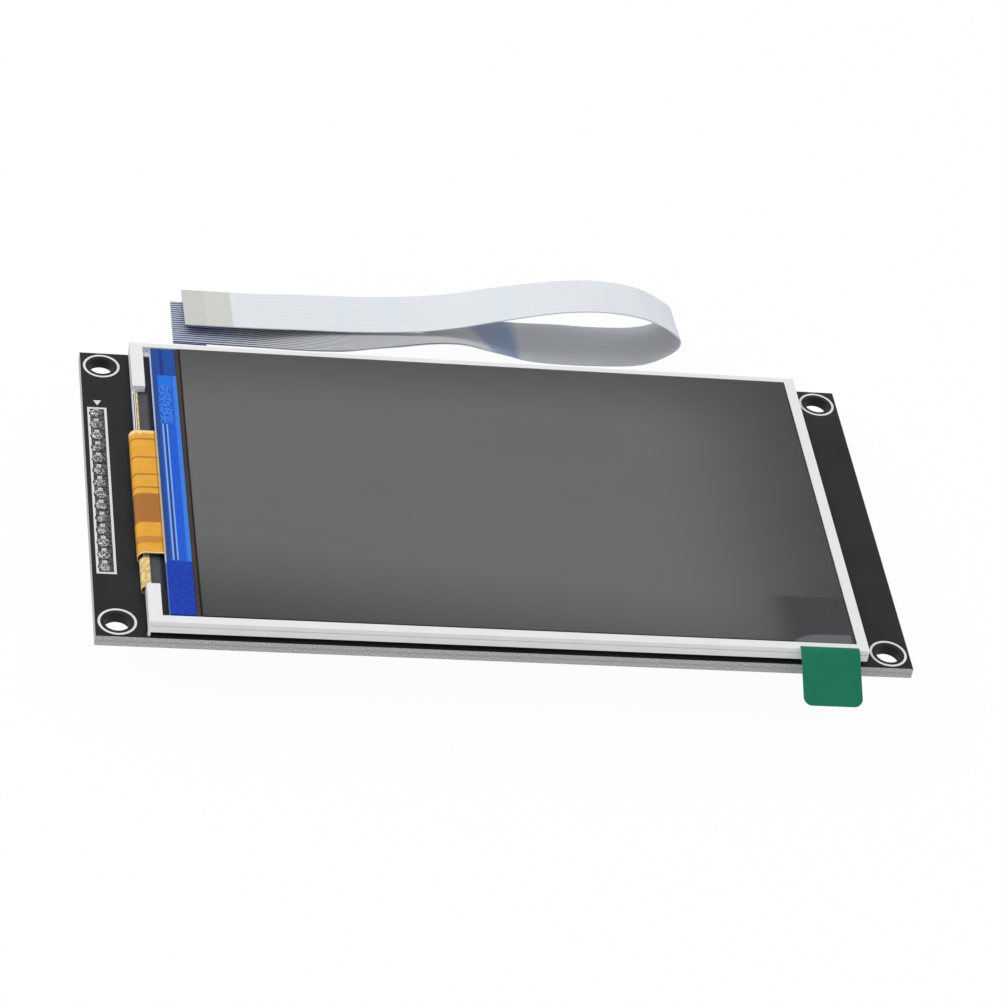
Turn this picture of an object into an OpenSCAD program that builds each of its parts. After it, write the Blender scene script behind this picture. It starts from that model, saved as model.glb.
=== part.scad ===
// Bare display module: an LCD panel in its white backlight frame, taped to a black circuit board,
// with a pin header, a memory card socket and a ribbon socket underneath, and its ribbon cable beside it.
// Origin: middle of the board, on its underside. +X runs away from the pin header, +Y to the back, +Z up.

/* [Board] */
// Length of the circuit board
board_l = 111.1; // [100:0.1:130]
// Width of the circuit board
board_w = 60.9; // [56:0.1:80]
// Thickness of the circuit board
board_t = 1.6; // [0.8:0.1:2.4]
// Diameter of each mounting hole
hole_d = 3.5; // [2.2:0.1:3.8]
// Distance from the board's edges to the middle of each mounting hole
hole_inset = 3.0; // [2.7:0.1:3.4]
// Middle radius of the printed ring around each mounting hole
ring_r = 2.43; // [2.2:0.01:2.5]
// Width of the printed lines
print_w = 0.34; // [0.2:0.01:0.4]
// Thickness of the printed lines
print_t = 0.03; // [0.02:0.01:0.05]

/* [Display frame] */
// Bare board between the frame and the board's far end
frame_far_gap = 6.65; // [6:0.05:20]
// Bare board beside the frame, at the front and at the back
frame_side_gap = 0.4; // [0.2:0.05:4]
// Bare board between the header's end and the frame
frame_setback = 6.85; // [6.6:0.05:8]
// Width of the frame's front rail, as seen from above
front_rail_w = 1.35; // [0.8:0.05:2]
// Width of the frame's back rail, as seen from above
back_rail_w = 0.9; // [0.7:0.05:2]
// Width of the frame's end rail, as seen from above
end_rail_w = 1.5; // [0.8:0.05:3]
// Width of the two corner stubs at the header's end
stub_w = 1.8; // [1.2:0.05:2.4]
// Length of the front corner stub
front_stub_l = 7.7; // [6:0.1:8.2]
// Length of the back corner stub
back_stub_l = 10.0; // [5:0.1:16]
// Thickness of the low wall between the stubs
low_wall_t = 0.4; // [0.3:0.05:0.6]
// Height of the low wall between the stubs
low_wall_h = 0.85; // [0.7:0.05:0.9]
// Width of the shelf inside the frame that carries the glass
shelf_w = 1.0; // [0.6:0.1:2]
// Thickness of the foam tape under the frame
foam_t = 0.7; // [0.6:0.05:0.9]
// Setback of the foam tape from the frame's outside
foam_inset = 0.8; // [0.4:0.1:2]
// Width of the foam tape's strips
foam_strip_w = 4.0; // [2:0.5:8]

/* [Display layers] */
// Thickness of the reflector sheet
reflector_t = 0.1; // [0.05:0.01:0.15]
// Thickness of the light guide and height of the lamps
guide_t = 0.55; // [0.5:0.01:0.8]
// Thickness of the diffuser and of each prism film
film_t = 0.1; // [0.05:0.01:0.15]
// Thickness of the black tape ring under the glass
ring_tape_t = 0.06; // [0.04:0.01:0.1]
// Thickness of each polariser
polariser_t = 0.12; // [0.08:0.01:0.2]
// Thickness of each sheet of glass
glass_t = 0.3; // [0.3:0.05:0.5]
// Thickness of the clear protective film
cover_film_t = 0.06; // [0.04:0.01:0.1]
// Play of the glass in the frame
glass_play = 0.05; // [0.02:0.01:0.15]
// Play of the backlight's sheets in the frame
film_play = 0.1; // [0.05:0.01:0.3]
// Gap from the front stub's inside to the rear glass
ledge_gap = 0.95; // [0.6:0.05:1.2]
// Width of the rear glass's ledge beyond the front glass
ledge_w = 3.6; // [3.2:0.1:5]
// Front glass left bare between the driver tape and the polariser
bare_glass_w = 0.7; // [0.3:0.05:1.5]

/* [Driver and flex] */
// Length of the driver chip
chip_l = 20; // [12:0.5:24]
// Width of the driver chip
chip_w = 1.1; // [0.8:0.05:1.2]
// Height of the driver chip
chip_h = 0.25; // [0.15:0.01:0.25]
// Skin of the driver tape over the driver chip
tape_skin = 0.06; // [0.04:0.01:0.1]
// Width of the display's flex
flex_w = 26.2; // [20:0.1:26.5]
// Distance from the frame's front to the flex
flex_front = 14.3; // [14.1:0.1:16]
// Thickness of the flex
flex_t = 0.1; // [0.08:0.01:0.15]
// Reach of the flex over the ledge
flex_bond = 1.1; // [0.8:0.05:1.2]
// Reach of the flex's bend beyond the low wall
flex_bulge = 0.85; // [0.7:0.05:1.2]
// Length of the flex's soldered end
solder_end_l = 3.0; // [2:0.1:4]
// Spacing of the flex's solder pads
pad_pitch = 0.7; // [0.5:0.05:1]
// Thickness of the flex's solder pads
pad_t = 0.08; // [0.05:0.01:0.1]

/* [Pull tab] */
// Width of the green pull tab
tab_w = 8.2; // [6:0.1:10]
// Length of the straight part of the pull tab
tab_l = 7.4; // [4:0.1:12]
// Thickness of the pull tab
tab_t = 0.14; // [0.1:0.01:0.2]
// Droop of the pull tab below level
tab_droop = 30; // [10:1:60]
// Radius of the bend where the pull tab starts to droop
tab_bend_r = 1.6; // [1:0.1:3]
// Distance from the frame's far end to the pull tab
tab_from_end = 1.5; // [0.5:0.1:20]

/* [Pin header] */
// Number of header pins
pin_count = 14; // [8:1:18]
// Spacing of the header pins
pin_pitch = 2.54; // [2.5:0.01:2.54]
// Distance from the board's end to the row of pins
pin_inset = 1.7; // [1.5:0.01:2]
// Width of a square header pin
pin_w = 0.64; // [0.5:0.01:0.7]
// Length of a pin below the plastic strip
pin_below = 6.0; // [3:0.1:11]
// Height of the header's plastic strip
strip_h = 2.54; // [2:0.01:2.54]
// Diameter of the plated holes for the pins
pin_hole_d = 1.0; // [1:0.05:1.2]
// Height of each solder joint
joint_h = 0.7; // [0.4:0.05:1]
// Radius of each solder joint at the board
joint_r = 0.85; // [0.7:0.05:0.9]

/* [Sockets underneath] */
// Number of contacts in the ribbon socket and cable
way_count = 18; // [10:1:20]
// Spacing of the ribbon's contacts
way_pitch = 0.5; // [0.5:0.01:0.6]
// Height of the ribbon socket
rib_socket_h = 2.0; // [1.8:0.1:2.5]
// Depth of the ribbon socket, front to back
rib_socket_d = 5.2; // [4.6:0.1:6]
// Distance from the board's header end to the middle of the ribbon socket
rib_socket_from_end = 20; // [16:0.5:30]
// Width of the memory card's slot
card_w = 24.2; // [24:0.1:24.6]
// Height of the memory card's slot
card_slot_h = 2.3; // [2.2:0.05:2.6]
// Length of the card socket
card_socket_l = 27; // [24:0.5:32]
// Thickness of the card socket's steel shell
shell_t = 0.25; // [0.2:0.01:0.4]
// Width of the card socket's plastic side rails
rail_t = 1.4; // [1:0.1:2]

/* [Ribbon cable] */
// Thickness of the ribbon cable
ribbon_t = 0.25; // [0.2:0.01:0.3]
// Thickness of the stiffener under each end of the ribbon cable
stiffener_t = 0.2; // [0.15:0.01:0.25]
// Length of the stiffener at each end of the ribbon cable
stiffener_l = 5; // [3.5:0.5:5.5]

/* [Hidden] */
$fn = 48;

e = 0.01;                                   // overshoot of a cut past a face
x_left = -board_l / 2;                      // header end of the board
y_front = -board_w / 2;
hole_x = board_l / 2 - hole_inset;
hole_y = board_w / 2 - hole_inset;

// The frame, from its outside inwards.
frame_x = x_left + frame_setback;
frame_l = board_l - frame_setback - frame_far_gap;
frame_w = board_w - 2 * frame_side_gap;
frame_end = frame_x + frame_l;
frame_y = -frame_w / 2;
frame_z = board_t + foam_t;
shelf_h = reflector_t + guide_t + 3 * film_t;
frame_h = shelf_h + ring_tape_t + 2 * polariser_t + 2 * glass_t;
top_z = frame_z + frame_h;
stub_end = frame_x + stub_w;
pocket = [
    [stub_end, frame_y + front_rail_w],
    [frame_end - end_rail_w, frame_y + frame_w - back_rail_w]
];
mid_y = [frame_y + front_stub_l, frame_y + frame_w - back_stub_l];   // low wall, front and back
low_wall_in = frame_x + low_wall_t;
corner_leg = 0.35;                          // moulded leg that steadies the frame's front corner

// The window inside the shelf, which holds the backlight's sheets.
window = [[stub_end, pocket[0][1] + shelf_w], [pocket[1][0] - shelf_w, pocket[1][1] - shelf_w]];
sheets_in = stub_end + 0.25;                // light guide's edge, in front of the lamps
film_in = stub_end + 1.25;                  // films' edge, beyond the lamp strip

// The glass in its pocket.
rear_in = stub_end + ledge_gap;
front_in = rear_in + ledge_w;
polariser_in = front_in + bare_glass_w;
cell_y = [pocket[0][1] + glass_play, pocket[1][1] - glass_play];
cell_end = pocket[1][0] - glass_play;
edge_bare = 0.1;                            // glass left bare around a polariser
chip_x = rear_in + flex_bond + 0.35;
chip_play = 0.05;                           // play of the tape round the chip and the flex

// Heights of the layers.
guide_z = frame_z + reflector_t;
lamp_top = guide_z + guide_t;
ring_z = frame_z + shelf_h;
rear_polariser_z = ring_z + ring_tape_t;
rear_glass_z = rear_polariser_z + polariser_t;
ledge_z = rear_glass_z + glass_t;
front_polariser_z = ledge_z + glass_t;

// The flex leaves the ledge, bends round the low wall and comes back to its pads on the board.
flex_y = frame_y + flex_front;
flex_top = ledge_z + flex_t;
flex_low = board_t + pad_t;
flex_r = (flex_top - flex_low) / 2;
flex_bend_x = frame_x - flex_bulge + flex_r;
flex_end = frame_x + 11;
pad_count = floor((flex_w - 1) / pad_pitch);

// The lamps' own strip, with a tail that bends round the low wall beside the flex.
lamp_count = 10;
lamp_size = [1.0, 3.0];
strip_t = 0.15;
tail_t = 0.08;
tail_w = 5.9;
tail_y = mid_y[0] + 0.4;
tail_top = frame_z + low_wall_h + 0.06 + tail_t;
tail_low = board_t + pad_t;
tail_r = (tail_top - tail_low) / 2;
tail_x = frame_x + 0.25;

// Header.
strip_w = 2.5;
pin_x = x_left + pin_inset;
pin_above = 0.9;                            // pin end above the board
strip_l = pin_count * pin_pitch;
print_box = [[x_left + 0.65, -strip_l / 2 - 0.1], [x_left + 3.35, strip_l / 2 + 0.1]];

// Ribbon socket, at the board's back edge, its mouth to the back.
ribbon_w = (way_count + 1) * way_pitch;
rib_socket_l = ribbon_w + 5.5;
rib_socket_x = x_left + rib_socket_from_end;
rib_socket_y = board_w / 2 - 0.4 - rib_socket_d;
rib_slot_h = 0.4;
rib_slot_z = -1.0;
contact_w = 0.2;

// Card socket, at the far end, its mouth to the end.
card_socket_w = card_w + 2 * (rail_t + shell_t);
card_floor_t = 0.4;
card_x = board_l / 2 - card_socket_l - 1.5;
card_contact_count = 9;
card_pitch = 2.5;
foot_w = 1.2;

// Where the module's underside stands: the pins' tips, and the ribbon cable beside them.
floor_z = -strip_h - pin_below;

// The ribbon cable's route, from its upper free end, round its fold and back to its lower free end:
// x from the board's header end, y from the board's front edge, height above the surface
// it lies on, and roll, with the front edge up. Chosen by hand.
ROUTE = [
    [17, 84.2, 1.9, 4], [23, 84.2, 1.9, 4], [29, 84.2, 1.95, 4], [34.5, 84.3, 2.1, 3],
    [41, 84.3, 2.2, 3], [47, 84.2, 2.6, 3], [52.5, 84.1, 3.2, 3], [58, 84, 4.3, 4],
    [63, 83.9, 5.7, 5], [68, 83.7, 7.1, 6], [73, 83.6, 8.2, 7], [78, 83.5, 8.8, 7],
    [82, 83.4, 8.7, 7], [85.5, 83.4, 8.1, 7], [88.2, 83.4, 7, 7], [90.3, 83.3, 5.8, 7],
    [91.6, 83.3, 4.7, 6], [91.8, 83.2, 3.7, 5], [91, 83.1, 2.6, 4], [89.2, 83, 1.4, 3],
    [86.8, 82.8, 0.6, 1], [84, 82.6, 0.3, 0], [79, 82.3, 0.3, -1], [74, 82.2, 0.4, -2],
    [69.5, 82.3, 0.4, 0], [65.5, 82.2, 0.8, 5], [60, 80.7, 1.8, 17], [54.5, 78.1, 3.3, 28],
    [48, 77.4, 3.2, 24], [41, 77.6, 2.4, 17], [34, 80.2, 1, 8], [28, 82.1, 0.4, -1],
    [21, 82.2, 0.5, -2], [15.3, 82.2, 0.6, -2]
];

function unit(v) = v / norm(v);
function route_point(i) = [x_left + ROUTE[i][0], y_front + ROUTE[i][1], floor_z + ROUTE[i][2]];
function route_way(i) = unit(
    route_point(min(i + 1, len(ROUTE) - 1)) - route_point(max(i - 1, 0))
);
// The direction across the ribbon, from its front edge to its back edge.
function route_across(i) =
    let (roll = ROUTE[i][3], way = route_way(i), lean = [0, cos(roll), -sin(roll)])
    unit(lean - way * (lean * way));
function route_face(i) = cross(route_way(i), route_across(i));

// Corner k of the ribbon's eight-sided section: half width, half thickness.
SECTION = [
    [-1, -0.4], [-0.985, -1], [0.985, -1], [1, -0.4], [1, 0.4], [0.985, 1], [-0.985, 1], [-1, 0.4]
];

module box(low, high) {
    translate(low) cube(high - low);
}

// A plate between two plan corners, from height z, t thick.
module plate(low, high, z, t) {
    box([low[0], low[1], z], [high[0], high[1], z + t]);
}

module plan_ring(low, high, line) {
    difference() {
        translate(low) square(high - low);
        translate([low[0] + line, low[1] + line]) square([
            high[0] - low[0] - 2 * line,
            high[1] - low[1] - 2 * line
        ]);
    }
}

module at_holes() {
    for (sx = [-1, 1], sy = [-1, 1]) translate([sx * hole_x, sy * hole_y]) children();
}

module at_pins() {
    for (i = [0 : pin_count - 1]) translate([pin_x, (i - (pin_count - 1) / 2) * pin_pitch]) children();
}

module circuit_board() {
    color("#2b2d30") difference() {
        plate([x_left, y_front], [board_l / 2, board_w / 2], 0, board_t);
        at_holes() translate([0, 0, -e]) cylinder(d = hole_d, h = board_t + 2 * e);
        at_pins() translate([0, 0, -e]) cylinder(d = pin_hole_d, h = board_t + 2 * e);
    }
}

// White print on the board: a ring at each hole, a box round the pins and a mark at the first pin.
module board_print() {
    mark = 1.1;
    color("white") translate([0, 0, board_t]) linear_extrude(print_t) {
        at_holes() difference() {
            circle(r = ring_r + print_w / 2);
            circle(r = ring_r - print_w / 2);
        }
        difference() {
            plan_ring(print_box[0], print_box[1], print_w);
            at_pins() circle(r = joint_r);
        }
        translate([pin_x + 0.4, print_box[1][1] + 0.5])
            polygon([[0, 0], [mark / 2, mark], [-mark / 2, mark]]);
    }
}

module header_strip() {
    chamfer = 0.35;
    half = pin_pitch / 2;
    color("#1c1c1e") translate([pin_x, 0, -strip_h]) difference() {
        linear_extrude(strip_h) for (i = [0 : pin_count - 1])
            translate([0, (i - (pin_count - 1) / 2) * pin_pitch]) polygon([
                [-strip_w / 2, -half + chamfer], [-strip_w / 2 + chamfer, -half],
                [strip_w / 2 - chamfer, -half], [strip_w / 2, -half + chamfer],
                [strip_w / 2, half - chamfer], [strip_w / 2 - chamfer, half],
                [-strip_w / 2 + chamfer, half], [-strip_w / 2, half - chamfer]
            ]);
        for (i = [0 : pin_count - 1])
            translate([-pin_w / 2, (i - (pin_count - 1) / 2) * pin_pitch - pin_w / 2, -e])
                cube([pin_w, pin_w, strip_h + 2 * e]);
    }
}

module header_pins() {
    taper = 0.5;
    tip = 0.5;
    color("gold") at_pins() {
        translate([-pin_w / 2, -pin_w / 2, floor_z + taper])
            cube([pin_w, pin_w, strip_h + pin_below + board_t + pin_above - taper]);
        translate([0, 0, floor_z]) linear_extrude(taper + e, scale = 1 / tip)
            square(pin_w * tip, center = true);
    }
}

module solder_joints() {
    neck_r = pin_w * 0.75;
    color("silver") translate([0, 0, board_t]) at_pins() difference() {
        rotate_extrude($fn = 24) polygon([
            [0, 0], [joint_r, 0], [joint_r * 0.8, joint_h * 0.22], [neck_r * 1.15, joint_h * 0.6],
            [neck_r, joint_h], [0, joint_h]
        ]);
        translate([-pin_w / 2, -pin_w / 2, -e]) cube([pin_w, pin_w, joint_h + 2 * e]);
    }
}

module foam_tape() {
    out = [
        [frame_x + foam_inset, frame_y + foam_inset],
        [frame_end - foam_inset, -frame_y - foam_inset]
    ];
    cross_x = flex_end + 2;
    color("#151515") {
        for (y = [out[0][1], out[1][1] - foam_strip_w])
            plate([out[0][0], y], [out[1][0], y + foam_strip_w], board_t, foam_t);
        for (x = [cross_x, out[1][0] - foam_strip_w]) plate(
            [x, out[0][1] + foam_strip_w],
            [x + foam_strip_w, out[1][1] - foam_strip_w], board_t, foam_t
        );
    }
}

// The moulded frame: a rail all round but for the low wall between the stubs, a shelf for the glass,
// and a window in the shelf for the backlight's sheets.
module backlight_frame() {
    step_h = frame_h * 0.55;
    step_w = 0.12;
    color("white") {
        difference() {
            plate([frame_x, frame_y], [frame_end, -frame_y], frame_z, frame_h);
            plate(pocket[0], pocket[1], ring_z, frame_h);
            plate(window[0], window[1], frame_z - e, frame_h);
            plate([low_wall_in, mid_y[0]], [stub_end + e, mid_y[1]], frame_z - e, frame_h + 2 * e);
            plate(
                [frame_x - e, mid_y[0]], [stub_end + e, mid_y[1]], frame_z + low_wall_h, frame_h
            );
            plate([frame_x - e, frame_y - e], [frame_end + e, frame_y + step_w],
                frame_z + step_h, 0.14);
        }
        plate([frame_x, frame_y], [frame_x + corner_leg, frame_y + corner_leg], board_t, foam_t);
    }
}

module reflector() {
    color("gainsboro") {
        plate([stub_end + film_play, window[0][1] + film_play],
            [window[1][0] - film_play, window[1][1] - film_play], frame_z, reflector_t);
        plate([low_wall_in + film_play, mid_y[0] + film_play],
            [stub_end + film_play, mid_y[1] - film_play], frame_z, reflector_t);
    }
}

module backlight_lamps() {
    x = sheets_in - lamp_size[0];
    span = mid_y[1] - mid_y[0] - 2;
    gap = span / lamp_count;
    color("lightyellow") for (i = [0 : lamp_count - 1]) {
        y = mid_y[0] + 1 + gap * (i + 0.5) - lamp_size[1] / 2;
        plate([x, y], [sheets_in, y + lamp_size[1]], guide_z, guide_t);
    }
}

module tail_profile() {
    run = 3.5;
    translate([tail_x, tail_top - tail_r]) difference() {
        circle(r = tail_r);
        circle(r = tail_r - tail_t);
        translate([0, -2 * tail_r]) square(4 * tail_r);
    }
    translate([tail_x, tail_low]) square([run, tail_t]);
    polygon([
        [tail_x, tail_top], [tail_x, tail_top - tail_t], [low_wall_in + 0.15, tail_top - tail_t],
        [low_wall_in + 0.6, lamp_top + strip_t - tail_t], [low_wall_in + 1.2, lamp_top + strip_t - tail_t],
        [low_wall_in + 1.2, lamp_top + strip_t], [low_wall_in + 0.7, lamp_top + strip_t],
        [low_wall_in + 0.25, tail_top]
    ]);
}

// Places a side profile, drawn in x and z, along +Y from y over length w.
module along_y(y, w) {
    translate([0, y + w, 0]) rotate([90, 0, 0]) linear_extrude(w) children();
}

module lamp_strip() {
    color("dimgray") {
        plate([low_wall_in + film_play, mid_y[0] + film_play],
            [film_in, mid_y[1] - film_play], lamp_top, strip_t);
        plate([stub_end + film_play, window[0][1] + film_play],
            [film_in, window[1][1] - film_play], lamp_top, strip_t);
        along_y(tail_y, tail_w) tail_profile();
    }
}

module light_guide() {
    color([0.9, 0.95, 1, 0.6]) plate([sheets_in, window[0][1] + film_play],
        [window[1][0] - film_play, window[1][1] - film_play], guide_z, guide_t);
}

// One of the three thin sheets on the light guide, counted from below.
module film(number) {
    plate([film_in + film_play, window[0][1] + film_play],
        [window[1][0] - film_play, window[1][1] - film_play],
        lamp_top + number * film_t, film_t);
}

module diffuser() {
    color("white") film(0);
}

module lower_prism_film() {
    color("lightgray") film(1);
}

module upper_prism_film() {
    color("silver") film(2);
}

module black_ring_tape() {
    band = shelf_w + 1.5;
    color("black") difference() {
        plate([film_in + film_play, cell_y[0]], [cell_end, cell_y[1]], ring_z, ring_tape_t);
        plate([polariser_in + 0.4, cell_y[0] + band], [cell_end - band, cell_y[1] - band],
            ring_z - e, ring_tape_t + 2 * e);
    }
}

module rear_polariser() {
    color("#3a3a3c") plate([film_in + film_play, cell_y[0] + edge_bare],
        [cell_end - edge_bare, cell_y[1] - edge_bare], rear_polariser_z, polariser_t);
}

module rear_glass() {
    color([0.5, 0.6, 0.6, 0.7]) plate([rear_in, cell_y[0]], [cell_end, cell_y[1]],
        rear_glass_z, glass_t);
}

module front_glass() {
    color("#3b2f38") plate([front_in, cell_y[0]], [cell_end, cell_y[1]], ledge_z, glass_t);
}

module front_polariser() {
    color("#3c3e40") plate([polariser_in, cell_y[0] + edge_bare],
        [cell_end - edge_bare, cell_y[1] - edge_bare], front_polariser_z, polariser_t);
}

// Clear film on the polariser, with a tongue over the front rail that carries the pull tab.
module protective_film() {
    tongue_end = frame_end - tab_from_end;
    color([0.9, 0.95, 1, 0.3]) {
        plate([polariser_in + edge_bare, cell_y[0] + 2 * edge_bare],
            [cell_end - 2 * edge_bare, cell_y[1] - 2 * edge_bare], top_z, cover_film_t);
        plate([tongue_end - tab_w, frame_y], [tongue_end, cell_y[0] + 1], top_z, cover_film_t);
    }
}

// Green tab, which bends over the frame's front edge and droops.
module pull_tab() {
    corner_r = 1.2;
    seat = 0.3;                             // stuck on the film's tongue
    steps = 6;
    inner_r = tab_bend_r - tab_t;
    outer = [for (k = [0 : steps]) let (a = tab_droop * k / steps)
        tab_bend_r * [-sin(a), cos(a)]];
    inner = [for (k = [steps : -1 : 0]) let (a = tab_droop * k / steps)
        inner_r * [-sin(a), cos(a)]];
    run = tab_l * [-cos(tab_droop), -sin(tab_droop)];
    free_end = outer[steps] + run;
    color("#1e7a5c")
        translate([frame_end - tab_from_end - tab_w, frame_y, top_z + cover_film_t - inner_r])
        difference() {
            rotate([90, 0, 90]) linear_extrude(tab_w) polygon(concat(
                [[seat, tab_bend_r]], outer, [free_end, inner[0] + run], inner, [[seat, inner_r]]
            ));
            translate([0, free_end[0], free_end[1]]) rotate([tab_droop, 0, 0])
                translate([0, 0, -2 * tab_t]) linear_extrude(4 * tab_t)
                for (side = [0, 1]) translate([side * tab_w, 0]) mirror([side, 0]) difference() {
                    translate([-e, -e]) square(corner_r + e);
                    translate([corner_r, corner_r]) circle(r = corner_r);
                }
        }
}

module driver_chip() {
    color("slategray") plate([chip_x, -chip_l / 2], [chip_x + chip_w, chip_l / 2], ledge_z, chip_h);
}

module driver_tape() {
    color("#0b5bd0") difference() {
        plate([rear_in + 0.2, cell_y[0] + 0.35], [front_in - 0.05, cell_y[1] - 0.15],
            ledge_z, chip_h + tape_skin);
        plate([chip_x - chip_play, -chip_l / 2 - chip_play],
            [chip_x + chip_w + chip_play, chip_l / 2 + chip_play], ledge_z - e, chip_h + e);
        plate([rear_in - e, flex_y - chip_play],
            [rear_in + flex_bond + chip_play, flex_y + flex_w + chip_play],
            ledge_z - e, flex_t + chip_play + e);
    }
}

module flex_profile() {
    translate([flex_bend_x, flex_top - flex_r]) difference() {
        circle(r = flex_r);
        circle(r = flex_r - flex_t);
        translate([0, -2 * flex_r]) square(4 * flex_r);
    }
    translate([flex_bend_x, ledge_z]) square([rear_in + flex_bond - flex_bend_x, flex_t]);
    translate([flex_bend_x, flex_low]) square([flex_end - flex_bend_x, flex_t]);
}

module display_flex() {
    color("#e8a832") along_y(flex_y, flex_w) flex_profile();
}

module flex_pads() {
    pad_w = pad_pitch / 2;
    color("silver") {
        for (i = [0 : pad_count - 1]) {
            y = flex_y + flex_w / 2 + (i - (pad_count - 1) / 2) * pad_pitch - pad_w / 2;
            plate([flex_end - solder_end_l, y], [flex_end, y + pad_w], board_t, pad_t);
        }
        for (y = [tail_y + 0.5, tail_y + tail_w - 2])
            plate([tail_x + 1.8, y], [tail_x + 3.4, y + 1.5], board_t, pad_t);
    }
}

module ribbon_socket() {
    wall = (rib_socket_l - ribbon_w) / 2 - 0.05;
    color("#e9e4d6") translate([rib_socket_x - rib_socket_l / 2, rib_socket_y, 0]) difference() {
        translate([0, 0, -rib_socket_h]) cube([rib_socket_l, rib_socket_d, rib_socket_h]);
        translate([wall, 1.2, rib_slot_z - rib_slot_h / 2])
            cube([rib_socket_l - 2 * wall, rib_socket_d, rib_slot_h]);
        translate([wall, rib_socket_d - 0.8, rib_slot_z - 0.45])
            cube([rib_socket_l - 2 * wall, 1, 0.9]);
        translate([wall, -e, e]) mirror([0, 0, 1])
            cube([rib_socket_l - 2 * wall, 0.5, 0.4]);
    }
}

module ribbon_contacts() {
    color("gold") {
        for (i = [0 : way_count - 1]) {
            x = rib_socket_x + (i - (way_count - 1) / 2) * way_pitch - contact_w / 2;
            box([x, rib_socket_y - 0.8, -0.15], [x + contact_w, rib_socket_y + 0.4, 0]);
        }
        for (side = [-1, 1]) {
            x = rib_socket_x + side * (rib_socket_l / 2 + 0.6) - 0.6;
            box([x, rib_socket_y + 1.5, -0.2], [x + 1.2, rib_socket_y + 3.5, 0]);
        }
    }
}

module card_socket_base() {
    inner = card_socket_w / 2 - shell_t;
    color("#222222") difference() {
        box([card_x, -inner, -card_floor_t - card_slot_h], [card_x + card_socket_l - 2, inner, 0]);
        box([card_x + 2.5, -card_w / 2, -card_floor_t - card_slot_h - e],
            [card_x + card_socket_l, card_w / 2, -card_floor_t]);
    }
}

module card_socket_shell() {
    h = card_floor_t + card_slot_h;
    side = card_socket_w / 2;
    color("silver") {
        difference() {
            box([card_x, -side, -h - shell_t], [card_x + card_socket_l, side, -h]);
            for (y = [-6, 6]) box([card_x + 5, y - 1.5, -h - shell_t - e],
                [card_x + 11, y + 1.5, -h + e]);
        }
        for (s = [-1, 1]) {
            y = s * (side - shell_t / 2);
            box([card_x, y - shell_t / 2, -h - e], [card_x + card_socket_l, y + shell_t / 2, -0.1]);
            for (x = [card_x + 2, card_x + card_socket_l - 4]) {
                y0 = s > 0 ? side - shell_t : -side - foot_w;
                box([x, y0, -shell_t], [x + 2, y0 + shell_t + foot_w, 0]);
            }
        }
    }
}

module card_contacts() {
    color("gold") for (i = [0 : card_contact_count - 1]) {
        y = (i - (card_contact_count - 1) / 2) * card_pitch - 0.4;
        box([card_x - 1.0, y, -0.2], [card_x, y + 0.8, 0]);
        box([card_x + 2.5, y, -card_floor_t - 0.3], [card_x + 8, y + 0.8, -card_floor_t]);
    }
}

module voltage_regulator() {
    at = [x_left + 34, 8];
    size = [6.5, 3.5, 1.6];
    lead = [0.7, 1.4, 0.25];
    color("#1d1d1f") translate([at[0], at[1], -size[2]]) cube([size[0], size[1], size[2] - lead[2]]);
    color("silver") {
        for (i = [0 : 2]) translate([at[0] + 0.6 + i * 2.3, at[1] - lead[1] + 0.4, -lead[2]])
            cube(lead);
        translate([at[0] + 1.7, at[1] + size[1] - 0.4, -lead[2]]) cube([3.1, lead[1], lead[2]]);
    }
}

module backlight_transistor() {
    at = [x_left + 34, -6];
    size = [2.9, 1.4, 1.1];
    lead = [0.4, 0.7, 0.15];
    color("#1d1d1f") translate([at[0], at[1], -size[2]]) cube([size[0], size[1], size[2] - lead[2]]);
    color("silver") {
        for (x = [0.3, 2.2]) translate([at[0] + x, at[1] - lead[1] + 0.2, -lead[2]]) cube(lead);
        translate([at[0] + 1.25, at[1] + size[1] - 0.2, -lead[2]]) cube(lead);
    }
}

// A row of surface-mounted chips: count of them, dy apart, each with two bright end caps.
module chip_row(at, count, dy, size, body) {
    cap = 0.3;
    for (i = [0 : count - 1]) translate([at[0], at[1] + i * dy, -size[2]]) {
        color(body) translate([cap, 0, 0]) cube([size[0] - 2 * cap, size[1], size[2]]);
        color("silver") for (x = [0, size[0] - cap]) translate([x, 0, 0])
            cube([cap, size[1], size[2]]);
    }
}

module chip_resistors() {
    chip_row([x_left + 26, -12], 6, 2.2, [1.6, 0.8, 0.45], "black");
    chip_row([x_left + 44, -12], 5, 2.2, [1.6, 0.8, 0.45], "black");
}

module chip_capacitors() {
    chip_row([x_left + 44, 4], 4, 3, [2.0, 1.25, 0.8], "#b98a5a");
    chip_row([x_left + 60, -6], 3, 3, [1.6, 0.8, 0.8], "#b98a5a");
}

module ribbon_cable() {
    rings = len(ROUTE);
    sides = len(SECTION);
    points = [
        for (i = [0 : rings - 1], k = [0 : sides - 1])
            route_point(i) + route_across(i) * (SECTION[k][0] * ribbon_w / 2)
                + route_face(i) * (SECTION[k][1] * ribbon_t / 2)
    ];
    faces = [
        [for (k = [0 : sides - 1]) k],
        [for (k = [sides - 1 : -1 : 0]) (rings - 1) * sides + k],
        for (i = [0 : rings - 2], k = [0 : sides - 1])
            let (n = (k + 1) % sides)
            each [
                [i * sides + n, i * sides + k, (i + 1) * sides + k],
                [i * sides + n, (i + 1) * sides + k, (i + 1) * sides + n]
            ]
    ];
    color("whitesmoke") polyhedron(points, faces, convexity = 8);
}

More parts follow.
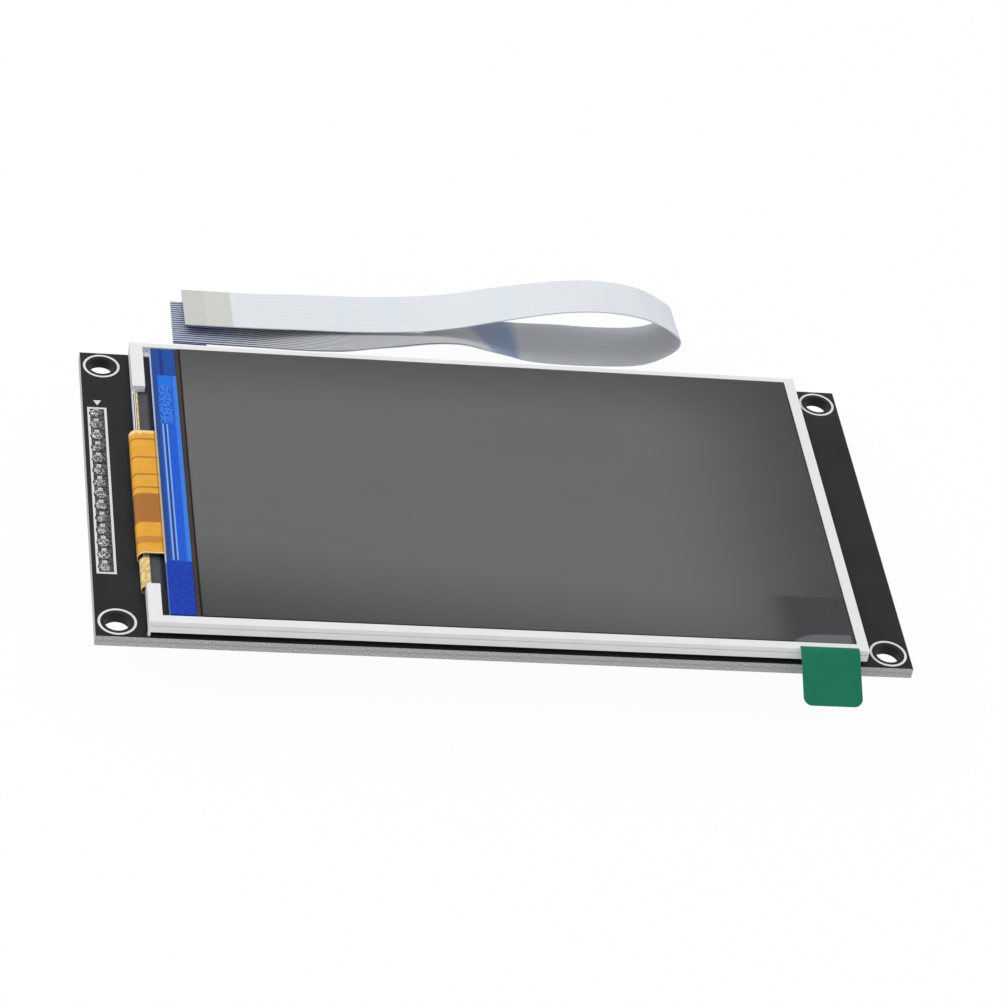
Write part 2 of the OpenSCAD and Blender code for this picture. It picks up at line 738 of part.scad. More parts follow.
// Stiffener under the ribbon's end at route point i, running inwards along the ribbon.
module ribbon_end(i, inner, under) {
    way = unit(route_point(inner) - route_point(i));
    across = unit(route_across(i) - way * (route_across(i) * way));
    face = cross(way, across);
    low = under * ribbon_t / 2;
    multmatrix([
        [way[0], across[0], face[0], route_point(i)[0]],
        [way[1], across[1], face[1], route_point(i)[1]],
        [way[2], across[2], face[2], route_point(i)[2]]
    ]) translate([0, -ribbon_w / 2, min(low, low + under * stiffener_t)])
        cube([stiffener_l, ribbon_w, stiffener_t]);
}

module ribbon_end_upper() {
    color("#1d3b82") ribbon_end(0, 1, -1);
}

module ribbon_end_lower() {
    color("#1d3b82") ribbon_end(len(ROUTE) - 1, len(ROUTE) - 2, -1);
}

circuit_board();
board_print();
header_strip();
header_pins();
solder_joints();
foam_tape();
backlight_frame();
reflector();
backlight_lamps();
lamp_strip();
light_guide();
diffuser();
lower_prism_film();
upper_prism_film();
black_ring_tape();
rear_polariser();
rear_glass();
front_glass();
front_polariser();
protective_film();
pull_tab();
driver_chip();
driver_tape();
display_flex();
flex_pads();
ribbon_socket();
ribbon_contacts();
card_socket_base();
card_socket_shell();
card_contacts();
voltage_regulator();
backlight_transistor();
chip_resistors();
chip_capacitors();
ribbon_cable();
ribbon_end_upper();
ribbon_end_lower();
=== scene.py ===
import math
import random

import bpy
from mathutils import Matrix, Vector


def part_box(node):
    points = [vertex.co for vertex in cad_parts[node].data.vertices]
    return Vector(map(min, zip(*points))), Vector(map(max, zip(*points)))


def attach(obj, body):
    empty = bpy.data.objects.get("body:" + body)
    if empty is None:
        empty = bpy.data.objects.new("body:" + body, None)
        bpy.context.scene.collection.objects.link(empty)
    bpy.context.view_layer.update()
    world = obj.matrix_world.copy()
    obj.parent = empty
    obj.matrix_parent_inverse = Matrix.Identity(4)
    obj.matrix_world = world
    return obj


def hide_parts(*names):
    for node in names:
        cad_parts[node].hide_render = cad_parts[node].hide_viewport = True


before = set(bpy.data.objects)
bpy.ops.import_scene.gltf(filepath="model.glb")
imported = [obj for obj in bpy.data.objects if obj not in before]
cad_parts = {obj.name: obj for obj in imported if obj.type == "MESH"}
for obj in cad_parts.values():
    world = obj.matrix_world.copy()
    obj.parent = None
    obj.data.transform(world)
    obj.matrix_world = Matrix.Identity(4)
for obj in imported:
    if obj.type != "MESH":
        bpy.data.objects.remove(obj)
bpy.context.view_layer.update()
scene = bpy.context.scene
MM = 0.001
X0, Y0 = -0.05555, -0.03045      # the board's front corner at its header end
HALF_L, HALF_W = 55.55, 30.45    # half the board's length and width, in mm
FLOOR = -0.00854                 # where the pins and the ribbon stand
FLOOR_GLOW = 0.97                # share of the seen floor that glows by itself


# ---------- camera ----------
def place_camera():
    tilt, turn, roll = math.radians(38.24), math.radians(13.96), math.radians(11.52)
    right = Vector((math.cos(turn), -math.sin(turn), 0))
    up = Vector((
        math.sin(turn) * math.sin(tilt), math.cos(turn) * math.sin(tilt), math.cos(tilt)))
    ahead = Vector((
        math.sin(turn) * math.cos(tilt), math.cos(turn) * math.cos(tilt), -math.sin(tilt)))
    side = math.cos(roll) * right + math.sin(roll) * up
    top = -math.sin(roll) * right + math.cos(roll) * up
    data = bpy.data.cameras.new("camera")
    data.sensor_width = 36
    data.lens = 140.15
    data.clip_start, data.clip_end = 0.01, 20
    camera = bpy.data.objects.new("camera", data)
    turned = Matrix((side, top, -ahead)).transposed().to_4x4()
    camera.matrix_world = Matrix.Translation((-0.10086, -0.41277, 0.33808)) @ turned
    scene.collection.objects.link(camera)
    scene.camera = camera


place_camera()


# ---------- shader helpers ----------
class Shader:
    """A material's node tree, with short ways to place masks in millimetres."""

    def __init__(self, name, rough=0.5, metal=0.0, specular=0.5):
        self.material = bpy.data.materials.new(name)
        self.material.use_nodes = True
        self.tree = self.material.node_tree
        self.base = self.tree.nodes["Principled BSDF"]
        self.base.inputs["Roughness"].default_value = rough
        self.base.inputs["Metallic"].default_value = metal
        self.base.inputs["Specular IOR Level"].default_value = specular
        self._place = None

    def node(self, kind, **settings):
        made = self.tree.nodes.new(kind)
        for key, value in settings.items():
            setattr(made, key, value)
        return made

    def put(self, socket, value):
        if isinstance(value, bpy.types.NodeSocket):
            self.tree.links.new(value, socket)
        else:
            socket.default_value = value

    def math(self, operation, a, b=0.0, c=0.0, clamp=False):
        made = self.node("ShaderNodeMath", operation=operation, use_clamp=clamp)
        for socket, value in zip(made.inputs, (a, b, c)):
            self.put(socket, value)
        return made.outputs[0]

    def mix(self, share, a, b):
        made = self.node("ShaderNodeMix", data_type="RGBA")
        self.put(made.inputs[0], share)
        self.put(made.inputs[6], a)
        self.put(made.inputs[7], b)
        return made.outputs[2]

    def place(self):
        """x from the board's header end, y from its front edge, z above its underside, in mm."""
        if self._place is None:
            coords = self.node("ShaderNodeTexCoord").outputs["Object"]
            split = self.node("ShaderNodeSeparateXYZ")
            self.tree.links.new(coords, split.inputs[0])
            self._place = [
                self.math("MULTIPLY_ADD", split.outputs[i], 1000, -start / MM)
                for i, start in enumerate((X0, Y0, 0))
            ]
        return self._place

    def step(self, value, edge, soft=0.1):
        """0 below edge, 1 above it."""
        made = self.node("ShaderNodeMapRange", interpolation_type="SMOOTHSTEP")
        self.put(made.inputs["Value"], value)
        made.inputs["From Min"].default_value = edge - soft / 2
        made.inputs["From Max"].default_value = edge + soft / 2
        return made.outputs[0]

    def band(self, value, low, high, soft=0.1):
        rising = self.step(value, low, soft)
        falling = self.step(value, high, soft)
        return self.math("SUBTRACT", rising, falling, clamp=True)

    def both(self, *masks):
        share = masks[0]
        for mask in masks[1:]:
            share = self.math("MULTIPLY", share, mask)
        return share

    def vector(self, stretch):
        """Place in mm, each axis multiplied."""
        made = self.node("ShaderNodeCombineXYZ")
        for i, axis in enumerate(self.place()):
            self.put(made.inputs[i], self.math("MULTIPLY", axis, stretch[i]))
        return made.outputs[0]

    def noise(self, stretch=(1, 1, 1), detail=2.0, vector=None):
        made = self.node("ShaderNodeTexNoise")
        made.inputs["Scale"].default_value = 1.0
        made.inputs["Detail"].default_value = detail
        self.put(made.inputs["Vector"], vector if vector is not None else self.vector(stretch))
        return made.outputs["Fac"]

    def bump(self, height, distance, strength=1.0):
        made = self.node("ShaderNodeBump")
        made.inputs["Strength"].default_value = strength
        made.inputs["Distance"].default_value = distance * MM
        self.put(made.inputs["Height"], height)
        self.put(self.base.inputs["Normal"], made.outputs[0])

    def color(self, value):
        self.put(self.base.inputs["Base Color"], value)


def srgb(*levels):
    """A colour from 0-255 levels."""
    linear = [
        v / 12.92 if v <= 0.04045 else ((v + 0.055) / 1.055) ** 2.4
        for v in (level / 255 for level in levels)
    ]
    return (*linear, 1.0)


def plain(name, low, high, rough, metal=0.0, specular=0.5, grain=(1, 1, 1), bump=0.0):
    """One finish that drifts between two close colours."""
    s = Shader(name, rough, metal, specular)
    drift = s.noise(grain)
    s.color(s.mix(drift, low, high))
    if bump:
        s.bump(s.noise(tuple(8 * g for g in grain)), bump)
    return s.material


def dress(node, material):
    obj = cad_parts[node]
    obj.data.materials.clear()
    obj.data.materials.append(material)


# ---------- finishes ----------
def board_finish():
    s = Shader("board_mask", 0.42, specular=0.12)
    x, y, z = s.place()
    grain = s.noise((0.12, 0.12, 1))
    top = s.mix(grain, srgb(30, 31, 33), srgb(46, 47, 50))
    flux = s.step(s.noise((2.6, 3.4, 1), detail=5), 0.52, 0.3)
    box = s.both(s.band(x, 0.95, 3.05), s.band(y, 12.6, 48.3))
    top = s.mix(s.both(box, flux), top, srgb(108, 109, 112))
    fibres = s.noise((9, 9, 3), detail=4)
    edge = s.mix(s.step(fibres, 0.5, 0.6), srgb(128, 130, 132), srgb(212, 213, 214))
    edge = s.mix(s.both(s.band(z, 0.7, 1.0, 0.3), 0.35), edge, srgb(120, 122, 124))
    # The board's cut edges, within 0.05 mm of its outline.
    out_x = s.math("ABSOLUTE", s.math("SUBTRACT", x, HALF_L))
    out_y = s.math("ABSOLUTE", s.math("SUBTRACT", y, HALF_W))
    outside = s.math("MAXIMUM", s.step(out_x, 55.5, 0.02), s.step(out_y, 30.4, 0.02))
    s.color(s.mix(outside, top, edge))
    return s.material


def polariser_finish():
    s = Shader("polariser", 0.3, specular=0.06)
    x, y, z = s.place()
    drift = s.noise((0.03, 0.06, 1))
    # painted reflection: the polariser is lighter towards the header end and darker towards the
    # far end
    sheen = s.both(
        s.math("SUBTRACT", 1, s.step(x, 92, 30)),
        s.step(s.math("MULTIPLY_ADD", x, 0.16, y), 13, 26),
        s.math("SUBTRACT", 1, s.both(s.step(y, 55, 20), 0.85)),
    )
    grey = s.mix(sheen, srgb(33, 33, 34), srgb(94, 94, 91))
    grey = s.mix(s.both(s.step(drift, 0.5, 0.5), 0.2), grey, srgb(70, 72, 76))
    # A soft dark area of painted reflection, and the lifted film, next to the pull tab.
    dark = s.both(s.step(x, 93, 5), s.math("SUBTRACT", 1, s.step(y, 11.2, 0.7)))
    grey = s.mix(s.both(dark, 0.9), grey, srgb(24, 25, 26))
    reach = s.math("DIVIDE", s.math("MAXIMUM", s.math("SUBTRACT", 98.6, x), 0), 5.2)
    left = s.math("SUBTRACT", 1, s.math("MULTIPLY", reach, reach))
    rise = s.math("SQRT", s.math("MAXIMUM", left, 0))
    lifted = s.step(s.math("SUBTRACT", s.math("MULTIPLY", rise, 3.5), y), 0, 0.15)
    lifted = s.both(lifted, s.step(x, 93.4, 0.1), s.math("SUBTRACT", 1, s.step(x, 102.3, 0.1)))
    grey = s.mix(lifted, grey, srgb(88, 88, 93))
    s.color(grey)
    return s.material


def film_finish():
    s = Shader("protective_film", 0.2, specular=0.1)
    s.base.inputs["Alpha"].default_value = 0.03
    s.color(s.mix(s.noise((0.2, 0.2, 0.2)), srgb(225, 228, 232), srgb(240, 242, 245)))
    return s.material


def tape_finish():
    s = Shader("driver_tape", 0.35, specular=0.2)
    x, y, z = s.place()
    fine = s.noise((3.2, 2.2, 1), detail=3)
    blue = s.mix(s.step(fine, 0.5, 0.4), srgb(6, 78, 192), srgb(10, 96, 222))
    embossed = s.both(s.band(y, 42.5, 51.1, 0.5), s.band(x, 10.4, 12.2, 0.4))
    blue = s.mix(s.both(embossed, s.step(fine, 0.5, 0.15)), blue, srgb(60, 132, 226))
    blue = s.mix(s.both(s.step(x, 12.55, 0.3), 0.6), blue, srgb(70, 140, 225))
    back = s.mix(s.band(x, 10.9, 11.4), srgb(14, 72, 160), srgb(6, 46, 130))
    blue = s.mix(s.step(y, 53.3, 0.3), blue, back)
    patch = s.both(s.band(y, 51.1, 53.3, 0.3), s.band(x, 10.3, 12.4))
    blue = s.mix(patch, blue, srgb(8, 112, 222))
    blue = s.mix(s.math("SUBTRACT", 1, s.step(x, 10.45, 0.5)), blue, srgb(26, 66, 142))
    front = s.math("SUBTRACT", 1, s.step(y, 13, 0.4))
    blue = s.mix(front, blue, s.mix(s.step(fine, 0.48, 0.2), srgb(0, 44, 150), srgb(0, 62, 186)))
    beside = s.band(y, 13.2, 42.3, 0.4)
    blue = s.mix(s.both(beside, s.band(x, 10.85, 11.2, 0.1), 0.8), blue, srgb(12, 50, 126))
    # painted highlights: two light lines along the tape, one on each side of the dark channel
    ridge_highlights = s.math("MAXIMUM", s.band(x, 10.62, 10.85, 0.1), s.band(x, 11.2, 11.4, 0.1))
    blue = s.mix(s.both(beside, ridge_highlights, 0.8), blue, srgb(146, 188, 236))
    s.color(blue)
    s.bump(fine, 0.08)
    return s.material


def flex_finish():
    s = Shader("flex", 0.32, specular=0.25)
    x, y, z = s.place()
    amber = s.mix(s.noise((0.6, 1.2, 1)), srgb(218, 152, 38), srgb(238, 176, 62))
    dark = s.math("MAXIMUM", s.band(y, 21.1, 26.9, 0.3), s.both(s.band(y, 16.8, 18.2, 0.3), 0.6))
    amber = s.mix(dark, amber, srgb(170, 108, 42))
    creases = s.band(y, 26.9, 27.2, 0.15)
    for at in (28.4, 31.2, 34.9, 38.9):
        creases = s.math("MAXIMUM", creases, s.band(y, at, at + 0.25, 0.2))
    # painted shade: the flex is darker along its creases
    amber = s.mix(s.both(creases, 0.7), amber, srgb(150, 92, 28))
    # painted highlight: a pale jagged band along the flex's top edge
    painted_highlight_edge = s.math("MULTIPLY_ADD", s.noise((2.5, 1, 1)), 1.6, y)
    amber = s.mix(s.step(painted_highlight_edge, 41.1, 0.5), amber, srgb(246, 216, 150))
    amber = s.mix(s.both(s.band(x, 9.35, 9.6, 0.1), 0.7), amber, srgb(140, 100, 50))
    amber = s.mix(s.step(x, 9.55, 0.1), amber, srgb(212, 188, 140))
    amber = s.mix(s.step(x, 9.9, 0.15), amber, srgb(104, 98, 72))
    amber = s.mix(s.step(x, 10.3, 0.15), amber, srgb(34, 62, 116))
    amber = s.mix(s.math("SUBTRACT", 1, s.step(y, 14.9, 0.1)), amber, srgb(232, 206, 158))
    s.color(amber)
    s.bump(s.math("SUBTRACT", s.noise((0.5, 0.9, 0.5)), creases), 0.12)
    return s.material


def frame_finish():
    s = Shader("frame_white", 0.5, specular=0.3)
    x, y, z = s.place()
    white = s.mix(s.noise((0.3, 0.3, 0.3)), srgb(226, 227, 229), srgb(236, 237, 238))
    # painted shade: a thin dark line in a groove on the frame's lower part
    groove_shade = s.both(s.band(x, 6.98, 7.12, 0.04), s.math("SUBTRACT", 1, s.step(z, 3.3, 0.1)))
    s.color(s.mix(s.both(groove_shade, s.band(y, 8.2, 50)), white, srgb(70, 70, 72)))
    return s.material


def coverlay_finish():
    """The lamps' strip: dark grey, with a pale yellow tail round the low wall."""
    s = Shader("lamp_coverlay", 0.4, specular=0.2)
    x, y, z = s.place()
    dark = s.mix(s.noise((0.6, 0.8, 1)), srgb(66, 68, 72), srgb(84, 86, 90))
    dark = s.mix(s.step(x, 9.0, 0.5), dark, srgb(26, 22, 38))
    dark = s.mix(s.both(s.step(y, 50, 0.5), 0.8), dark, srgb(34, 32, 46))
    dark = s.mix(s.both(s.math("SUBTRACT", 1, s.step(y, 8.2, 0.3)), 0.7), dark, srgb(40, 40, 46))
    mottle = s.step(s.noise((1.6, 1.6, 1)), 0.5, 0.3)
    tail = s.mix(mottle, srgb(206, 172, 108), srgb(242, 220, 164))
    s.color(s.mix(s.math("SUBTRACT", 1, s.step(x, 7.6, 0.1)), dark, tail))
    return s.material


def glass_edge_finish():
    s = Shader("rear_glass", 0.12, specular=0.3)
    x, y, z = s.place()
    edge = s.math("SUBTRACT", 1, s.step(x, 9.85, 0.05))
    pale = s.mix(s.step(y, 13, 1), srgb(78, 112, 172), srgb(192, 212, 240))
    s.color(s.mix(edge, srgb(40, 44, 56), pale))
    return s.material


def border_finish():
    s = Shader("dark_border", 0.3, specular=0.1)
    x, y, z = s.place()
    brown = s.mix(s.noise((1, 0.2, 1)), srgb(58, 48, 48), srgb(76, 66, 64))
    s.color(s.mix(s.step(x, 13.72, 0.1), brown, srgb(30, 14, 14)))
    return s.material


def solder_finish():
    s = Shader("solder", 0.28, metal=0.7, specular=0.5)
    # painted reflections: the solder's colour is broken into dark patches and bright glints that
    # stand in for its mirrored surroundings; the same noise also gives its bumps
    rough = s.noise((3.5, 3.5, 3.5), detail=5)
    s.color(s.mix(s.step(rough, 0.5, 0.25), srgb(74, 75, 78), srgb(240, 240, 242)))
    s.bump(rough, 0.25)
    return s.material


BLACK = plain("black_plastic", srgb(22, 22, 23), srgb(34, 34, 36), 0.5,
              specular=0.2, grain=(2, 2, 2), bump=0.01)
GOLD = plain("gold", srgb(214, 180, 100), srgb(232, 202, 124), 0.3, metal=1.0)
TIN = plain("tin", srgb(196, 198, 202), srgb(232, 233, 235), 0.25,
            metal=0.9, grain=(6, 6, 6), bump=0.05)
STEEL = plain("steel", srgb(200, 202, 204), srgb(222, 223, 225), 0.3,
              metal=1.0, grain=(9, 0.5, 2))
FOAM = plain("foam", srgb(12, 12, 12), srgb(22, 22, 22), 0.95,
             specular=0.1, grain=(6, 6, 6), bump=0.05)
IVORY = plain("ivory_plastic", srgb(226, 220, 202), srgb(236, 231, 216), 0.5)
CHIP = plain("chip_black", srgb(38, 38, 40), srgb(50, 50, 52), 0.5, grain=(2, 2, 2))
TAN = plain("tan_ceramic", srgb(178, 134, 86), srgb(196, 152, 102), 0.6, grain=(2, 2, 2))
SHEET = plain("white_sheet", srgb(222, 224, 226), srgb(236, 237, 238), 0.4)
GREEN = plain("green_film", srgb(18, 108, 80), srgb(26, 122, 92), 0.45,
              specular=0.15, grain=(0.4, 0.4, 1), bump=0.02)
PRINT = plain("print_white", srgb(216, 217, 217), srgb(232, 232, 232), 0.6, grain=(3, 3, 3))
GUIDE = plain("light_guide", srgb(214, 222, 228), srgb(226, 233, 238), 0.1)
LAMP = plain("lamp", srgb(236, 226, 170), srgb(244, 236, 190), 0.3)
BLUE = plain("stiffener_blue", srgb(34, 62, 130), srgb(46, 78, 150), 0.35)
BORDER = border_finish()
FILM = film_finish()
SOLDER = solder_finish()

for node, finish in (
    ("circuit_board", board_finish()), ("board_print", PRINT), ("header_strip", BLACK),
    ("header_pins", TIN), ("solder_joints", SOLDER), ("foam_tape", FOAM),
    ("backlight_frame", frame_finish()), ("reflector", SHEET), ("backlight_lamps", LAMP),
    ("lamp_strip", coverlay_finish()), ("light_guide", GUIDE), ("diffuser", SHEET),
    ("lower_prism_film", SHEET), ("upper_prism_film", SHEET), ("black_ring_tape", FOAM),
    ("rear_polariser", BORDER), ("rear_glass", glass_edge_finish()), ("front_glass", BORDER),
    ("front_polariser", polariser_finish()), ("protective_film", FILM),
    ("pull_tab", GREEN), ("driver_chip", CHIP), ("driver_tape", tape_finish()),
    ("display_flex", flex_finish()), ("flex_pads", TIN), ("ribbon_socket", IVORY),
    ("ribbon_contacts", GOLD), ("card_socket_base", BLACK), ("card_socket_shell", STEEL),
    ("card_contacts", GOLD), ("voltage_regulator", CHIP), ("backlight_transistor", CHIP),
    ("chip_resistors", CHIP), ("chip_capacitors", TAN),
    ("ribbon_end_upper", BLUE), ("ribbon_end_lower", BLUE), ("ribbon_cable", SHEET),
):
    dress(node, finish)


def add_piece(name, mesh, finish, slot, *nodes):
    """A piece of the scene that stands for CAD nodes."""
    obj = bpy.data.objects.new(name, mesh)
    scene.collection.objects.link(obj)
    mesh.materials.append(finish)
    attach(obj, "root")
    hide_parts(*nodes)
    return obj


# ---------- the solder joints ----------
def solder_mesh():
    """Uneven lumps of solder, drawn out across the printed box."""
    dice = random.Random(4)
    low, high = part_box("solder_joints")
    count, sides = 14, 20
    pitch = 2.54 * MM
    middle_x, middle_y = (low.x + high.x) / 2, (low.y + high.y) / 2
    profile = [(1.0, 0.0), (0.93, 0.16), (0.74, 0.42), (0.5, 0.72), (0.26, 0.95), (0.0, 1.0)]
    points, faces = [], []
    for n in range(count):
        centre_y = middle_y + (n - (count - 1) / 2) * pitch + dice.uniform(-0.1, 0.1) * MM
        reach = (dice.uniform(0.84, 0.98) * MM, dice.uniform(0.8, 1.0) * MM)
        lean = dice.uniform(-0.35, 0.35)
        wobble = [dice.uniform(0.86, 1.0) for _ in range(sides)]
        start = len(points)
        for r, h in profile[:-1]:
            for k in range(sides):
                a = 2 * math.pi * k / sides
                u = r * wobble[k] * reach[0] * math.cos(a)
                v = r * wobble[k] * reach[1] * math.sin(a) + lean * u
                rise = h * 0.7 * MM * dice.uniform(0.9, 1.0)
                points.append((middle_x + 0.12 * MM + u, centre_y + v, low.z + rise))
        points.append((middle_x + 0.12 * MM, centre_y, high.z))
        for ring in range(len(profile) - 2):
            for k in range(sides):
                m = (k + 1) % sides
                a, b = start + ring * sides + k, start + ring * sides + m
                faces.append((a, b, b + sides, a + sides))
        last = start + (len(profile) - 2) * sides
        for k in range(sides):
            faces.append((last + k, last + (k + 1) % sides, len(points) - 1))
        faces.append([start + k for k in reversed(range(sides))])
    mesh = bpy.data.meshes.new("solder")
    mesh.from_pydata(points, [], faces)
    mesh.polygons.foreach_set("use_smooth", [True] * len(mesh.polygons))
    return mesh


add_piece("solder_lumps", solder_mesh(), SOLDER, "solder", "solder_joints")


# ---------- the protective film ----------
def film_mesh():
    """The clear film's top, a hair above the polariser, with its tongue under the pull tab."""
    low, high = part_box("protective_film")
    panel_low, panel_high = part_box("front_polariser")
    tab_low, tab_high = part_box("pull_tab")
    bare = 0.1 * MM
    edge_y = panel_low.y + bare
    outline = [
        (panel_low.x + bare, edge_y), (tab_low.x, edge_y), (tab_low.x, low.y),
        (tab_high.x, low.y), (tab_high.x, edge_y), (panel_high.x - bare, edge_y),
        (panel_high.x - bare, panel_high.y - bare), (panel_low.x + bare, panel_high.y - bare),
    ]
    count = len(outline)
    points = [(x, y, low.z + 0.02 * MM) for x, y in outline]
    points += [(x, y, high.z) for x, y in outline]
    faces = [list(reversed(range(count))), list(range(count, 2 * count))]
    faces += [(k, (k + 1) % count, count + (k + 1) % count, count + k) for k in range(count)]
    mesh = bpy.data.meshes.new("film")
    mesh.from_pydata(points, [], faces)
    return mesh


add_piece("clear_film", film_mesh(), FILM, "clear_film", "protective_film")


# ---------- the ribbon cable ----------
# x and y from the board's front corner, height above the floor, and roll, in mm and degrees.
ROUTE = [
    (17, 84.2, 1.9, 4), (23, 84.2, 1.9, 4), (29, 84.2, 1.95, 4), (34.5, 84.3, 2.1, 3),
    (41, 84.3, 2.2, 3), (47, 84.2, 2.6, 3), (52.5, 84.1, 3.2, 3), (58, 84, 4.3, 4),
    (63, 83.9, 5.7, 5), (68, 83.7, 7.1, 6), (73, 83.6, 8.2, 7), (78, 83.5, 8.8, 7),
    (82, 83.4, 8.7, 7), (85.5, 83.4, 8.1, 7), (88.2, 83.4, 7, 7), (90.3, 83.3, 5.8, 7),
    (91.6, 83.3, 4.7, 6), (91.8, 83.2, 3.7, 5), (91, 83.1, 2.6, 4), (89.2, 83, 1.4, 3),
    (86.8, 82.8, 0.6, 1), (84, 82.6, 0.3, 0), (79, 82.3, 0.3, -1), (74, 82.2, 0.4, -2),
    (69.5, 82.3, 0.4, 0), (65.5, 82.2, 0.8, 5), (60, 80.7, 1.8, 17), (54.5, 78.1, 3.3, 28),
    (48, 77.4, 3.2, 24), (41, 77.6, 2.4, 17), (34, 80.2, 1, 8), (28, 82.1, 0.4, -1),
    (21, 82.2, 0.5, -2), (15.3, 82.2, 0.6, -2),
]
RIBBON_W, RIBBON_T, WAYS = 9.5, 0.25, 18


def curve_through(points, steps):
    """A smooth line through the points, as tuples of the same length."""
    out = []
    for i in range(len(points) - 1):
        p0, p1 = points[max(i - 1, 0)], points[i]
        p2, p3 = points[i + 1], points[min(i + 2, len(points) - 1)]
        for k in range(steps):
            t = k / steps
            out.append(tuple(
                0.5 * (2 * b + (c - a) * t + (2 * a - 5 * b + 4 * c - d) * t * t
                       + (3 * b - a - 3 * c + d) * t ** 3)
                for a, b, c, d in zip(p0, p1, p2, p3)))
    out.append(tuple(points[-1]))
    return out


def ribbon_rings():
    """Centre, across and face direction at each step, in the row frame."""
    line = curve_through(ROUTE, 6)
    centres = [
        Vector((X0 + p[0] * MM, Y0 + p[1] * MM, FLOOR + p[2] * MM)) for p in line
    ]
    rings = []
    for i, p in enumerate(line):
        way = (centres[min(i + 1, len(line) - 1)] - centres[max(i - 1, 0)]).normalized()
        roll = math.radians(p[3])
        lean = Vector((0, math.cos(roll), -math.sin(roll)))
        across = (lean - way * lean.dot(way)).normalized()
        rings.append((centres[i], across, way.cross(across)))
    return rings


def ribbon_mesh(rings):
    section = [(-1, -0.4), (-0.985, -1), (0.985, -1), (1, -0.4), (1, 0.4), (0.985, 1),
               (-0.985, 1), (-1, 0.4)]
    low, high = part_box("ribbon_cable")
    points, faces, marks = [], [], []
    run = 0
    sides = len(section)
    for i, (centre, across, face) in enumerate(rings):
        if i:
            run += (centre - rings[i - 1][0]).length / MM
        for u, v in section:
            p = centre + across * (u * RIBBON_W / 2 * MM) + face * (v * RIBBON_T / 2 * MM)
            points.append([min(max(p[k], low[k]), high[k]) for k in range(3)])
            marks.append((run, (u + 1) / 2 * RIBBON_W, v))
    faces.append(list(range(sides)))
    faces.append([(len(rings) - 1) * sides + k for k in reversed(range(sides))])
    for i in range(len(rings) - 1):
        for k in range(sides):
            n = (k + 1) % sides
            faces.append([i * sides + n, i * sides + k, (i + 1) * sides + k, (i + 1) * sides + n])
    mesh = bpy.data.meshes.new("ribbon")
    mesh.from_pydata(points, [], faces)
    layer = mesh.attributes.new("strip", "FLOAT_VECTOR", "POINT")
    for i, mark in enumerate(marks):
        layer.data[i].vector = mark
    mesh.polygons.foreach_set("use_smooth", [True] * len(mesh.polygons))
    mesh.set_sharp_from_angle(angle=math.radians(40))
    return mesh, run


def ribbon_finish():
    """Flat wires between two films: run along it, v across it, side above or below."""
    s = Shader("ribbon_film", 0.38, specular=0.25)
    split = s.node("ShaderNodeSeparateXYZ")
    s.put(split.inputs[0], s.node("ShaderNodeAttribute", attribute_name="strip").outputs["Vector"])
    run, across, side = split.outputs
    wave = s.math("FRACT", s.math("MULTIPLY", across, 2.0))
    gap = s.math("SUBTRACT", 1, s.band(wave, 0.25, 0.75, 0.3))
    tint = s.noise(vector=s.math("MULTIPLY", run, 0.09))
    outer = s.mix(s.both(gap, 0.14), srgb(232, 235, 238), srgb(120, 132, 152))
    outer = s.mix(s.both(s.step(tint, 0.55, 0.2), 0.5), outer, srgb(218, 228, 242))
    outer = s.mix(s.math("SUBTRACT", 1, s.step(run, 7.2, 0.2)), outer, srgb(208, 209, 205))
    outer = s.mix(s.math("SUBTRACT", 1, s.step(run, 3.3, 0.2)), outer, srgb(202, 203, 198))
    inner = s.mix(s.both(gap, 0.22), srgb(206, 208, 211), srgb(120, 130, 150))
    # painted reflection: a soft blue patch on the inner face between runs 103 and 109 mm
    inner = s.mix(s.both(s.band(run, 103, 109, 2), 0.75), inner, srgb(120, 144, 190))
    wires = s.mix(gap, srgb(214, 217, 221), srgb(96, 98, 104))
    inner = s.mix(s.step(run, 114, 10), inner, wires)
    ends = s.mix(gap, srgb(206, 212, 222), srgb(30, 48, 104))
    inner = s.mix(s.step(run, 146, 12), inner, ends)
    s.color(s.mix(s.step(side, 0, 0.1), inner, outer))
    s.bump(s.band(wave, 0.2, 0.8, 0.3), 0.02)
    return s.material


rings = ribbon_rings()
mesh, ribbon_run = ribbon_mesh(rings)
ribbon = add_piece("ribbon_strip", mesh, ribbon_finish(), "ribbon", "ribbon_cable")


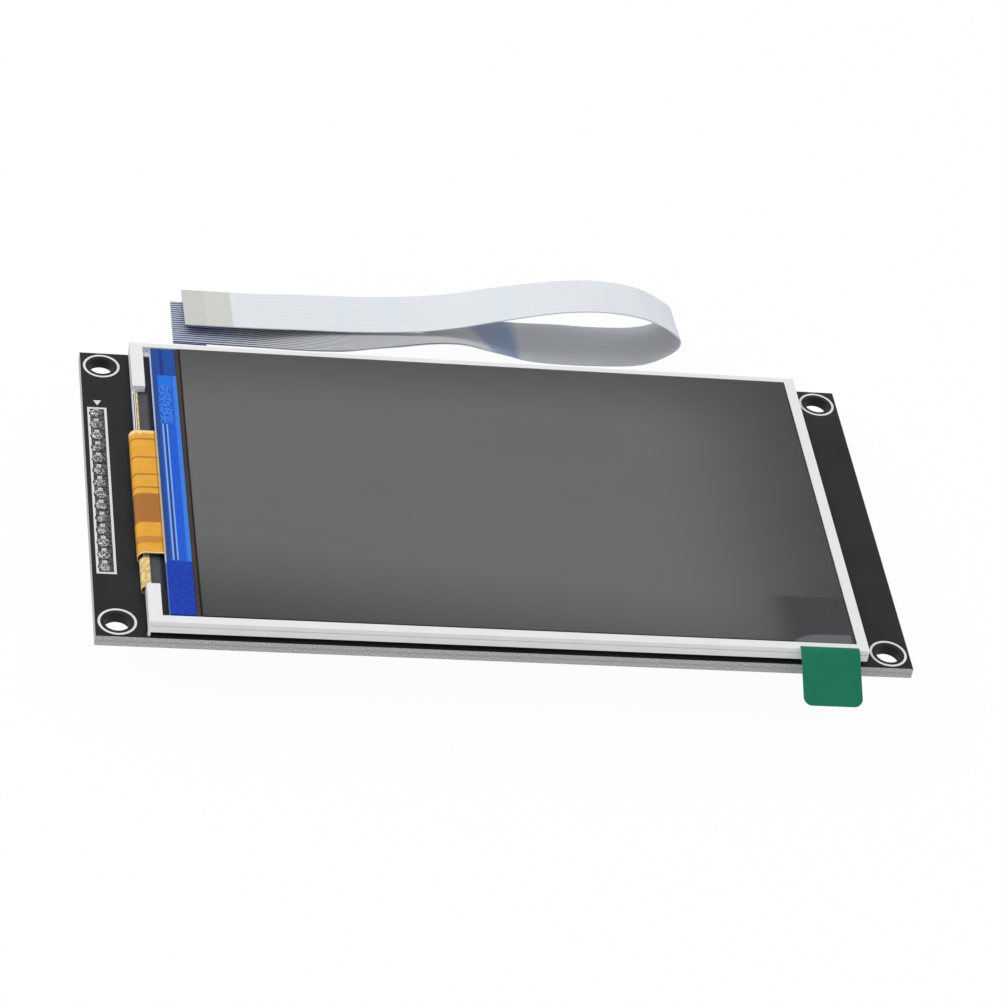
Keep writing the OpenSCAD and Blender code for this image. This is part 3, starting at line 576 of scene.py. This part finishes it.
# ---------- floor, light ----------
def light_room():
    size = 3
    mesh = bpy.data.meshes.new("floor")
    mesh.from_pydata(
        [(-size, -size, FLOOR), (size, -size, FLOOR), (size, size, FLOOR), (-size, size, FLOOR)],
        [], [(0, 1, 2, 3)])
    floor = bpy.data.objects.new("floor", mesh)
    scene.collection.objects.link(floor)
    material = bpy.data.materials.new("floor")
    material.use_nodes = True
    tree = material.node_tree
    tree.nodes.clear()
    out = tree.nodes.new("ShaderNodeOutputMaterial")
    diffuse = tree.nodes.new("ShaderNodeBsdfDiffuse")
    diffuse.inputs[0].default_value = (0.9, 0.9, 0.9, 1)
    glow = tree.nodes.new("ShaderNodeEmission")
    # Only what the camera sees, straight, mirrored or through a clear piece, glows.
    path = tree.nodes.new("ShaderNodeLightPath")
    seen, also, share = (tree.nodes.new("ShaderNodeMath") for _ in range(3))
    seen.operation = also.operation = "MAXIMUM"
    share.operation = "MULTIPLY"
    tree.links.new(path.outputs["Is Camera Ray"], seen.inputs[0])
    tree.links.new(path.outputs["Is Glossy Ray"], seen.inputs[1])
    tree.links.new(seen.outputs[0], also.inputs[0])
    tree.links.new(path.outputs["Is Transmission Ray"], also.inputs[1])
    tree.links.new(also.outputs[0], share.inputs[0])
    share.inputs[1].default_value = FLOOR_GLOW
    mix = tree.nodes.new("ShaderNodeMixShader")
    tree.links.new(share.outputs[0], mix.inputs[0])
    tree.links.new(diffuse.outputs[0], mix.inputs[1])
    tree.links.new(glow.outputs[0], mix.inputs[2])
    tree.links.new(mix.outputs[0], out.inputs[0])
    mesh.materials.append(material)

    world = bpy.data.worlds.new("world")
    scene.world = world
    world.use_nodes = True
    sky = world.node_tree.nodes["Background"]
    sky.inputs[0].default_value = (1, 1, 1, 1)
    sky.inputs[1].default_value = 0.72

    lamp = bpy.data.lights.new("soft_light", "AREA")
    lamp.shape = "DISK"
    lamp.size = 0.8
    lamp.energy = 4.5
    lit = bpy.data.objects.new("soft_light", lamp)
    lit.location = (-0.5, 0.2, 1.0)
    lit.rotation_euler = (Vector((0, 0.01, 0)) - lit.location).to_track_quat("-Z", "Y").to_euler()
    scene.collection.objects.link(lit)


light_room()
scene.view_settings.view_transform = "Standard"
